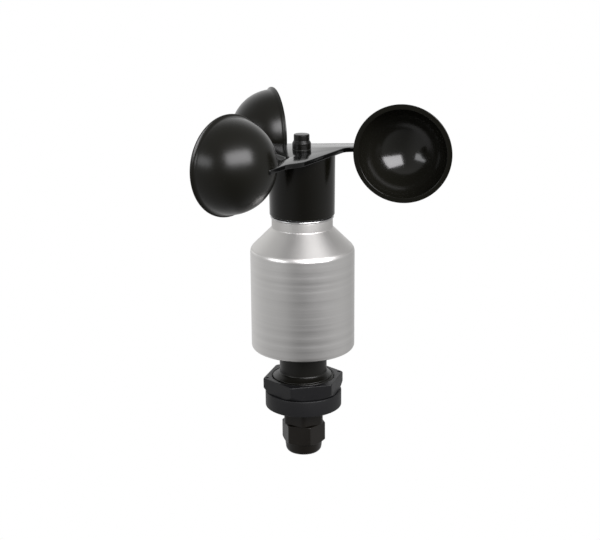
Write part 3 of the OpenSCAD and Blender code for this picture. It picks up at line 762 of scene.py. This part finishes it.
def build_dome_nut():
    low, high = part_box("gland_dome_nut")
    hex_low = high.z - DOME_HEX_HEIGHT
    dome_r = GLAND_FLATS / 2 - 0.5 * MM
    mouth = 4.8 * MM
    thread_low = hex_low + 1.2 * MM
    thread_r = DOME_THREAD_R + 0.02 * MM
    rims = (GLAND_CORNER - 1.4 * MM, GLAND_CORNER - 0.5 * MM)
    outline = eased([
        (mouth, low.z, 0.35 * MM),
        (dome_r - 0.4 * MM, low.z, 2.4 * MM),
        (dome_r + 0.25 * MM, hex_low, 0.1 * MM),
        (rims[0], hex_low, 0),
        (GLAND_CORNER, hex_low + 0.9 * MM, 0.3 * MM),
        (GLAND_CORNER, high.z - 0.4 * MM, 0.2 * MM),
        (rims[1], high.z, 0),
        (thread_r, high.z, 0.2 * MM),
        (thread_r, thread_low, 0.1 * MM),
        (SEAL_OUT + 1.3 * MM, low.z + 3.35 * MM, 0.2 * MM),
        (mouth, low.z + 2.95 * MM, 0.1 * MM),
    ])
    shape = hexagonal(GLAND_FLATS, 0, hex_low, high.z, dome_r + 0.26 * MM, rims, edge=0.25 * MM)
    return turned("gland_dome_cap", finely(outline, 0.2 * MM), shape, HEX_AROUND)


def build_gland_seal():
    low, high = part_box("gland_seal")
    step = low.z + SEAL_STEP
    outline = eased([
        (CABLE_R, low.z, 0.5 * MM),
        (SEAL_MOUTH, low.z, 0.5 * MM),
        (SEAL_MOUTH, step, 0.1 * MM),
        (SEAL_OUT, step, 0.3 * MM),
        (SEAL_OUT, high.z, 0.2 * MM),
        (CABLE_R, high.z, 0.3 * MM),
    ])
    return turned("gland_seal_bush", outline)


for build, node, material, slot in (
    (build_gland_body, "gland_body", gland_nylon, "gland_black"),
    (build_dome_nut, "gland_dome_nut", gland_nylon, "gland_black"),
    (build_gland_seal, "gland_seal", seal_rubber, "rubber_black"),
):
    piece = build()
    piece.data.materials.append(material)
    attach(piece, "frame")
    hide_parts(node)


# ---------- Circuit board and pick-up ----------
# A round glass-fibre board on three brass pillars, with a slotted opto fork, a line
# driver, capacitors, surge arresters and a screw terminal. Hand-soldered small series.


def build_board_laminate():
    """Green resist over copper tracks, which stand out a little paler and proud."""
    group, given, made = value_group(
        "board_laminate",
        [("Resist", (0.02, 0.12, 0.04, 1)), ("Track", (0.05, 0.24, 0.08, 1)),
         ("Roughness", 0.3)],
    )
    link = group.links.new
    place = group.nodes.new("ShaderNodeTexCoord").outputs["Object"]
    tracks = group.nodes.new("ShaderNodeTexBrick")
    tracks.inputs["Scale"].default_value = 260
    tracks.inputs["Mortar Size"].default_value = 0.05
    tracks.inputs["Color1"].default_value = (0, 0, 0, 1)
    tracks.inputs["Color2"].default_value = (0, 0, 0, 1)
    tracks.inputs["Mortar"].default_value = (1, 1, 1, 1)
    weave = noise(group, place, 2600.0, 2.0)
    link(place, tracks.inputs["Vector"])
    link(blend(group, tracks.outputs["Color"], given.outputs["Resist"], given.outputs["Track"]),
         made.inputs["Colour"])
    link(calc(group, "MULTIPLY_ADD", weave, 0.12, given.outputs["Roughness"]),
         made.inputs["Roughness"])
    link(calc(group, "MULTIPLY_ADD", weave, 0.15, tracks.outputs["Color"]),
         made.inputs["Height"])
    return group


board_green, _ = textured("board_green", build_board_laminate(), {}, strength=0.4, depth=0.04)
component_black = moulded("component_black", (0.012, 0.012, 0.013), 0.5, grain=0.6)
terminal_green = moulded("terminal_green", (0.03, 0.17, 0.06), 0.45, grain=0.5)
arrester_blue = moulded("arrester_blue", (0.02, 0.07, 0.25), 0.3, grain=0.2, flow=0.2)

clothe(board_green, "circuit_board")
clothe(component_black, "opto_fork", "driver_chip")
clothe(terminal_green, "terminal_block")
clothe(arrester_blue, "surge_arresters")


# ---------- Turned metal inside ----------
# Bearing tube, spacers, screws, pillars and the ball bearings: lathe-turned or ground
# metal. Fine tool lines run round each piece, and each kind has its own colour.


BAND_SCALE = 0.12  # how often the wide bands come, against 1.0 for the lines


def build_turning_lines():
    """Tool lines round the axis, in wide bands of light and dark, over a faint cloudiness."""
    group, given, made = value_group(
        "turning_lines",
        [("Colour", (0.7, 0.7, 0.7, 1)), ("Roughness", 0.3), ("Lines", 5000.0),
         ("Streak", 0.1), ("Cloud", 0.05)],
    )
    link = group.links.new
    place = group.nodes.new("ShaderNodeTexCoord").outputs["Object"]
    parts = group.nodes.new("ShaderNodeSeparateXYZ")
    link(place, parts.inputs[0])
    flat = group.nodes.new("ShaderNodeCombineXYZ")
    link(parts.outputs["X"], flat.inputs["X"])
    link(parts.outputs["Y"], flat.inputs["Y"])
    radius = group.nodes.new("ShaderNodeVectorMath")
    radius.operation = "LENGTH"
    link(flat.outputs[0], radius.inputs[0])
    travel = calc(group, "ADD", radius.outputs["Value"], parts.outputs["Z"])
    feed = calc(group, "MULTIPLY", travel, given.outputs["Lines"])
    cut = group.nodes.new("ShaderNodeTexNoise")
    cut.noise_dimensions = "1D"
    cut.inputs["Scale"].default_value = 1.0
    cut.inputs["Detail"].default_value = 3.0
    link(feed, cut.inputs["W"])
    bands = group.nodes.new("ShaderNodeTexNoise")
    bands.noise_dimensions = "1D"
    bands.inputs["Scale"].default_value = BAND_SCALE
    link(feed, bands.inputs["W"])
    cloud = noise(group, place, 90.0, 3.0)
    streak = calc(group, "SUBTRACT", bands.outputs["Fac"], 0.5)
    rough = calc(group, "MULTIPLY_ADD", streak, given.outputs["Streak"],
                 given.outputs["Roughness"])
    rough = calc(group, "MULTIPLY_ADD", calc(group, "SUBTRACT", cloud, 0.5),
                 given.outputs["Cloud"], rough)
    shade = calc(group, "MULTIPLY_ADD", calc(group, "SUBTRACT", cut.outputs["Fac"], 0.5), 0.10,
                 calc(group, "MULTIPLY_ADD", streak, 0.12, 1.0))
    colour = group.nodes.new("ShaderNodeVectorMath")
    colour.operation = "SCALE"
    link(given.outputs["Colour"], colour.inputs[0])
    link(shade, colour.inputs["Scale"])
    link(colour.outputs[0], made.inputs["Colour"])
    link(rough, made.inputs["Roughness"])
    link(cut.outputs["Fac"], made.inputs["Height"])
    return group


turning_lines = build_turning_lines()


def metal(name, colour, roughness, lines=5000, streak=0.1, cloud=0.05, bump=0.004, spread=0.4):
    """Turned metal; spread draws its highlights out across the tool lines."""
    material, shader = textured(name, turning_lines, {
        "Colour": (*colour, 1), "Roughness": roughness, "Lines": lines, "Streak": streak,
        "Cloud": cloud,
    }, strength=0.5, depth=bump)
    shader.inputs["Metallic"].default_value = 1.0
    shader.inputs["Anisotropic"].default_value = spread
    shader.inputs["Anisotropic Rotation"].default_value = 0.25
    return material


raw_aluminium = metal("raw_aluminium", (0.60, 0.61, 0.62), 0.33)
ground_steel = metal("ground_steel", (0.58, 0.57, 0.56), 0.14, lines=9000, bump=0.002)
turned_steel = metal("turned_steel", (0.50, 0.50, 0.49), 0.28)
spring_steel = metal("spring_steel", (0.10, 0.10, 0.11), 0.35, streak=0.2)
turned_brass = metal("turned_brass", (0.66, 0.50, 0.22), 0.24)
can_metal = metal("can_metal", (0.42, 0.43, 0.46), 0.3, spread=0.0)
cage_nylon = moulded("cage_nylon", (0.36, 0.26, 0.13), 0.45, grain=0.5)

clothe(raw_aluminium, "bearing_tube")
clothe(turned_steel, "tube_screws", "board_screws", "terminal_screws", "bearing_spacer",
       "hub_shim", "drive_pin", "shaft", "upper_bearing_shields", "lower_bearing_shields")
clothe(ground_steel, "upper_bearing_inner", "upper_bearing_outer", "upper_bearing_balls",
       "lower_bearing_inner", "lower_bearing_outer", "lower_bearing_balls")
clothe(spring_steel, "upper_circlip", "lower_circlip", "shaft_circlip", "wave_spring",
       "disc_grub_screw", "slotted_disc")
clothe(turned_brass, "board_pillars", "disc_hub")
clothe(can_metal, "capacitors")
clothe(cage_nylon, "upper_bearing_cage", "lower_bearing_cage")


# ---------- Housing ----------
# A bottle-shaped shell turned from aluminium bar and clear anodised, a little duller on its
# cone and neck, which are also painted darker there as painted shade, and a polished ring
# pressed on its neck that keeps the rain out.

SHELL_WALL = 2.66 * MM
SEAT_STEP = 1.5 * MM
SEAT_TOP = 12.0 * MM
CEILING_Z = 48.5 * MM
CEILING_EDGE_R = 1.5 * MM
TUBE_BORE_R = 12.32 * MM
NECK_OUT_R = 13.8 * MM
NECK_FOOT_Z = 57.56 * MM
FOOT_ROUND = 2.0 * MM
SHOULDER_ROUND = 3.6 * MM
NECK_FOOT_ROUND = 0.6 * MM
METAL_AROUND = 256  # points round the housing and its ring
CONE_SLOPE = (0.45, 0.95)  # upward share of the normals on the cone
CONE_LOW_Z = 40 * MM
RING_ROUND = 0.48 * MM

anodised = metal("anodised_aluminium", (0.67, 0.66, 0.648), 0.33, lines=3600, streak=0.10,
                 cloud=0.06, bump=0.005, spread=0.1)
# Darker copy of the anodised finish for the upward-facing cone and the neck: painted shade against
# their highlights.
cone_neck_painted_shade_anodised = metal("cone_anodised_aluminium", (0.56, 0.550, 0.536), 0.45, lines=3600,
                      streak=0.10, cloud=0.06, bump=0.005, spread=0.1)
polished = metal("polished_aluminium", (0.50, 0.50, 0.50), 0.30, lines=6000, streak=0.05,
                 bump=0.002, spread=0.2)


def build_shell():
    low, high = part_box("housing_shell")
    body = high.x
    bore = body - SHELL_WALL
    seat = bore - SEAT_STEP
    shoulder_z = NECK_FOOT_Z - (body - NECK_OUT_R)
    outline = eased([
        (seat, low.z, 0.3 * MM),
        (body, low.z, FOOT_ROUND),
        (body, shoulder_z, SHOULDER_ROUND),
        (NECK_OUT_R, NECK_FOOT_Z, NECK_FOOT_ROUND),
        (NECK_OUT_R, high.z, 0.2 * MM),
        (TUBE_BORE_R, high.z, 0.1 * MM),
        (TUBE_BORE_R, CEILING_Z, 0.1 * MM),
        (bore - CEILING_EDGE_R, CEILING_Z, 0.1 * MM),
        (bore, CEILING_Z - CEILING_EDGE_R, 0.1 * MM),
        (bore, SEAT_TOP, 0.1 * MM),
        (seat, SEAT_TOP, 0.1 * MM),
    ], steps=12)
    return turned("housing_turned_shell", outline, around=METAL_AROUND)


shell = build_shell()
shell.data.materials.append(anodised)
shell.data.materials.append(cone_neck_painted_shade_anodised)
# Faces sloping up the cone, and the neck's faces, take the darker copy: painted shade.
for face in shell.data.polygons:
    on_cone = CONE_SLOPE[0] < face.normal.z < CONE_SLOPE[1] and face.center.z > CONE_LOW_Z
    on_neck = face.center.z > NECK_FOOT_Z - MM
    face.material_index = 1 if on_cone or on_neck else 0
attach(shell, "frame")
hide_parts("housing_shell")


def build_neck_ring():
    low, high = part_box("labyrinth_ring")
    rim = high.x
    outline = eased([
        (TUBE_BORE_R, low.z, 0.1 * MM),
        (rim, low.z, RING_ROUND),
        (rim, high.z, RING_ROUND),
        (TUBE_BORE_R, high.z, 0.1 * MM),
    ], steps=10)
    return turned("neck_ring_polished", outline, around=METAL_AROUND)


neck_ring = build_neck_ring()
neck_ring.data.materials.append(polished)
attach(neck_ring, "frame")
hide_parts("labyrinth_ring")


# ---------- Rotor ----------
# One black moulding: a star plate with three skewed arms, and under it the skirt that
# turns round the bearing tube. Its top is polished in the mould, its skirt is satin.

ARMS = 3
ARM_SKEW = math.radians(13.4)
ARM_EDGE = 3.8 * MM
ARM_FILLET = 4.5 * MM
ARM_PROUD = 0.7 * MM
TIP_PAST_CUP = 1.5 * MM
TIP_EDGE = 4 * MM
TIP_ROUND = 1.2 * MM
WAIST_BACK = 9.9 * MM
WAIST_LENGTH = 11.3 * MM
WAIST_STEPS = 18
PLATE_T = 2.1 * MM
PLATE_EDGE = 0.42 * MM
SKIRT_LOW_R = 14.65 * MM
SKIRT_TOP_R = 14.9 * MM
SKIRT_BORE = 13.2 * MM
BOSS_R = 6.5 * MM
BOSS_H = 3.6 * MM
SHAFT_HOLE = 3.02 * MM
PIN_SLOT = 0.77 * MM
PIN_GAP = 0.02 * MM
INTO_PLATE = 0.6 * MM  # how far the skirt and boss are sunk in the plate
WELD_GAP = 0.04 * MM

hub_low, hub_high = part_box("rotor_hub")
cup_low, cup_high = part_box("cup_1")
CUP_R = cup_high.y - cup_low.y
CUP_AT = (cup_low.x + cup_high.x) / 2
CUP_Z = (cup_low.z + cup_high.z) / 2
plate_z = hub_high.z - PLATE_T

cup_gloss = moulded("cup_satin", (0.0024, 0.0022, 0.0010), 0.29, grain=0.35, flow=0.10, dust=0.12,
                    bump=0.012)
# The inside is the same plastic as the outside, but its colour is painted about twice as light:
# painted light in the bowl.
cup_inside_polished_painted_light = moulded("cup_inside_polished_painted_lighter", (0.0056, 0.0054, 0.0040), 0.15, grain=0.15, flow=0.07,
                     dust=0.2, bump=0.006, shine=0.45)
cup_rim = moulded("cup_rim", (0.0024, 0.0022, 0.0010), 0.20, grain=0.2, dust=0.15, bump=0.006,
                  shine=0.25)
plate_gloss = moulded("plate_polished", (0.0022, 0.0022, 0.0022), 0.12, grain=0.12, flow=0.10,
                      dust=0.25, bump=0.006)
skirt_satin = moulded("skirt_satin", (0.0016, 0.0014, 0.0006), 0.22, grain=0.4, flow=0.12,
                      dust=0.15, bump=0.015)


def arc_points(x, y, r, first, last, steps):
    """Points on an arc, from first to last in degrees."""
    return [(x + r * math.cos(math.radians(first + (last - first) * k / steps)),
             y + r * math.sin(math.radians(first + (last - first) * k / steps)))
            for k in range(steps + 1)]


def arm_outline():
    """One third of the star's edge, for an arm that points along +X."""
    hub_edge = SKIRT_TOP_R + 0.05 * MM
    reach_x = CUP_AT * math.cos(ARM_SKEW)
    tip_y = -CUP_AT * math.sin(ARM_SKEW) + CUP_R + ARM_PROUD
    tip_x = reach_x + TIP_PAST_CUP
    t = (ARM_EDGE + hub_edge / 2) / math.sin(math.radians(60))
    fillet_x = hub_edge * math.cos(math.radians(30)) + t / 2 + ARM_FILLET * math.tan(
        math.radians(30))
    points = arc_points(fillet_x, ARM_EDGE - ARM_FILLET, ARM_FILLET, 150, 90, 10)
    points += [(reach_x, ARM_EDGE), (tip_x, tip_y - TIP_EDGE)]
    points += arc_points(tip_x - TIP_ROUND, tip_y - TIP_ROUND, TIP_ROUND, 0, 90, 6)
    waist_x = reach_x - WAIST_BACK
    for k in range(WAIST_STEPS + 1):
        share = k / WAIST_STEPS
        swing = (1 - math.cos(math.pi * share)) / 2
        points.append((waist_x - WAIST_LENGTH * share, tip_y + (hub_edge - tip_y) * swing))
    return points


def build_plate():
    """Star plate with rounded edges."""
    shell = bmesh.new()
    edge = []
    for k in range(ARMS):
        a = ARM_SKEW + 2 * math.pi * k / ARMS
        c, s = math.cos(a), math.sin(a)
        edge += [shell.verts.new((x * c - y * s, x * s + y * c, plate_z)) for x, y in arm_outline()]
    base = shell.faces.new(edge)
    raised = bmesh.ops.extrude_face_region(shell, geom=[base])
    top = [v for v in raised["geom"] if isinstance(v, bmesh.types.BMVert)]
    bmesh.ops.translate(shell, verts=top, vec=(0, 0, PLATE_T))
    bmesh.ops.recalc_face_normals(shell, faces=shell.faces)
    rims = [e for e in shell.edges
            if abs(e.verts[0].co.z - e.verts[1].co.z) < SAME_HEIGHT and len(e.link_faces) == 2]
    bmesh.ops.bevel(shell, geom=rims, offset=PLATE_EDGE, segments=4, profile=0.5,
                    affect="EDGES", clamp_overlap=True)
    return piece_from(shell, "rotor_hub_moulding")


def ball_at(centre, r):
    """Round cutter for the seat of a cup."""
    shell = bmesh.new()
    bmesh.ops.create_uvsphere(shell, u_segments=128, v_segments=64, radius=r,
                              matrix=Matrix.Translation(centre))
    return piece_from(shell, "cutter")


def slot_cutter(low_z, top_z):
    """Cutter for the slot across the boss that takes the drive pin."""
    shell = bmesh.new()
    size = Matrix.Diagonal((2 * BOSS_R + MM, 2 * PIN_SLOT, top_z - low_z, 1))
    bmesh.ops.create_cube(shell, size=1,
                          matrix=Matrix.Translation((0, 0, (top_z + low_z) / 2)) @ size)
    return piece_from(shell, "cutter")


def build_rotor_hub():
    hub = build_plate()
    joined_z = plate_z + INTO_PLATE
    below_boss = plate_z - BOSS_H - MM
    skirt = turned("skirt", eased([
        (SKIRT_BORE, hub_low.z, 0.15 * MM),
        (SKIRT_LOW_R, hub_low.z, 0.45 * MM),
        (SKIRT_TOP_R, plate_z, 0),
        (SKIRT_TOP_R, joined_z, 0),
        (SKIRT_BORE, joined_z, 0),
    ]), around=192)
    carve(hub, skirt, "UNION")
    carve(hub, plug_at(0, 0, plate_z - BOSS_H, joined_z, BOSS_R, around=96), "UNION")
    carve(hub, plug_at(0, 0, below_boss, hub_high.z + MM, SHAFT_HOLE, around=64))
    carve(hub, slot_cutter(below_boss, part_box("drive_pin")[1].z + PIN_GAP))
    for k in range(ARMS):
        a = 2 * math.pi * k / ARMS
        centre = Vector((CUP_AT * math.cos(a), CUP_AT * math.sin(a), CUP_Z))
        carve(hub, ball_at(centre, CUP_R + WELD_GAP))
    return hub


hub = build_rotor_hub()
hub.data.materials.clear()
hub.data.materials.append(plate_gloss)
hub.data.materials.append(skirt_satin)
for face in hub.data.polygons:
    on_plate = face.center.z > plate_z - 0.01 * MM
    face.material_index = 0 if on_plate else 1
finish_faces(hub)
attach(hub, "rotor")
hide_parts("rotor_hub")


# ---------- Cups ----------
# Three half-ball cups in gloss black plastic, moulded one by one with a flared rim that
# stiffens them, polished inside, and welded to the arms' ends.
# Inside, each cup's colour is painted lighter than outside, as painted light.

CUP_WALL = 1.2 * MM
LIP_H = 2.6 * MM
LIP_FILLET = 2.2 * MM


CUP_STEPS = 40  # stretches along each side of the section
LIP_STEPS = 12
MOUTH_GAP = 0.2 * MM  # depth below the mouth at which the polished inside starts
RIM_DEPTH = 0.3 * MM


def cup_outline():
    """Section of a cup about its own axis, with its mouth at height 0 and facing up."""
    lip = (cup_high.x - cup_low.x) / 2
    inner = CUP_R - CUP_WALL
    join = math.sqrt(CUP_R ** 2 - LIP_H ** 2)
    flare = join + LIP_FILLET
    under_lip = math.degrees(math.acos((lip - flare) / LIP_FILLET))
    lip_low = -LIP_H + LIP_FILLET * math.sin(math.radians(under_lip))
    start = math.degrees(math.asin(LIP_H / CUP_R))
    points = [(r, z, 0) for r, z in arc_points(0, 0, inner, -90, -2, CUP_STEPS)]
    points += [(inner, 0, 0.3 * MM), (lip, 0, 0.22 * MM), (lip, lip_low, 0.2 * MM)]
    points += [(r, z, 0) for r, z in arc_points(flare, -LIP_H, LIP_FILLET, under_lip + 8, 180,
                                                LIP_STEPS)]
    points += [(r, z, 0) for r, z in arc_points(0, 0, CUP_R, -start - 2, -90, CUP_STEPS)]
    points[0] = (0, -inner, 0)
    points[-1] = (0, -CUP_R, 0)
    return eased(points)


def build_cup(k):
    cup = turned(f"cup_{k + 1}_shell", cup_outline(), around=144, sharp=40)
    mesh = cup.data
    for material in (cup_gloss, cup_inside_polished_painted_light, cup_rim):
        mesh.materials.append(material)
    middle = CUP_R - CUP_WALL / 2
    # Faces inside the bowl get the copy painted lighter, as painted light.
    for face in mesh.polygons:
        if face.center.length < middle and face.center.z < -MOUTH_GAP:
            face.material_index = 1
        elif face.center.z > -RIM_DEPTH:
            face.material_index = 2
    stand = Matrix.Translation((CUP_AT, 0, CUP_Z)) @ Matrix.Rotation(math.pi / 2, 4, "X")
    mesh.transform(Matrix.Rotation(2 * math.pi * k / ARMS, 4, "Z") @ stand)
    mesh.update()
    return cup


for k in range(ARMS):
    cup = build_cup(k)
    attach(cup, "rotor")
    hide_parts(f"cup_{k + 1}")


# ---------- Cap nut and washer ----------
# The rotor is held down by a tall black moulded nut with a wider foot, small enough to be
# turned with two fingers, on a thin fibre washer.

knob_satin = moulded("knob_satin", (0.0020, 0.0018, 0.0012), 0.30, grain=0.6, bump=0.02)
washer_fibre = moulded("washer_fibre", (0.012, 0.012, 0.011), 0.25, grain=0.4, dust=0.1)


CAP_TOP_R = 3.5 * MM
CAP_HOLE_R = 2.52 * MM
CAP_HOLE_DEPTH = 5.6 * MM
CAP_FOOT_H = 2.6 * MM
CAP_NECK_H = 3.7 * MM
WASHER_HOLE_R = 2.6 * MM


def build_cap_nut():
    low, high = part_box("cap_nut")
    foot = high.x
    hole_top = low.z + CAP_HOLE_DEPTH
    outline = eased([
        (0, hole_top, 0),
        (CAP_HOLE_R, hole_top, 0.1 * MM),
        (CAP_HOLE_R, low.z, 0.2 * MM),
        (foot, low.z, 0.25 * MM),
        (foot, low.z + CAP_FOOT_H, 0.35 * MM),
        (CAP_TOP_R, low.z + CAP_NECK_H, 0.5 * MM),
        (CAP_TOP_R, high.z, 0.4 * MM),
        (0, high.z, 0),
    ])
    return turned("cap_nut_moulding", outline, around=96)


def build_washer():
    low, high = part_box("cap_washer")
    outline = eased([
        (WASHER_HOLE_R, low.z, 0.05 * MM),
        (high.x, low.z, 0.12 * MM),
        (high.x, high.z, 0.18 * MM),
        (WASHER_HOLE_R, high.z, 0.05 * MM),
    ])
    return turned("cap_washer_ring", outline, around=96)


for build, node, material, slot in (
    (build_cap_nut, "cap_nut", knob_satin, "gloss_black"),
    (build_washer, "cap_washer", washer_fibre, "satin_black"),
):
    piece = build()
    piece.data.materials.append(material)
    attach(piece, "rotor")
    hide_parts(node)
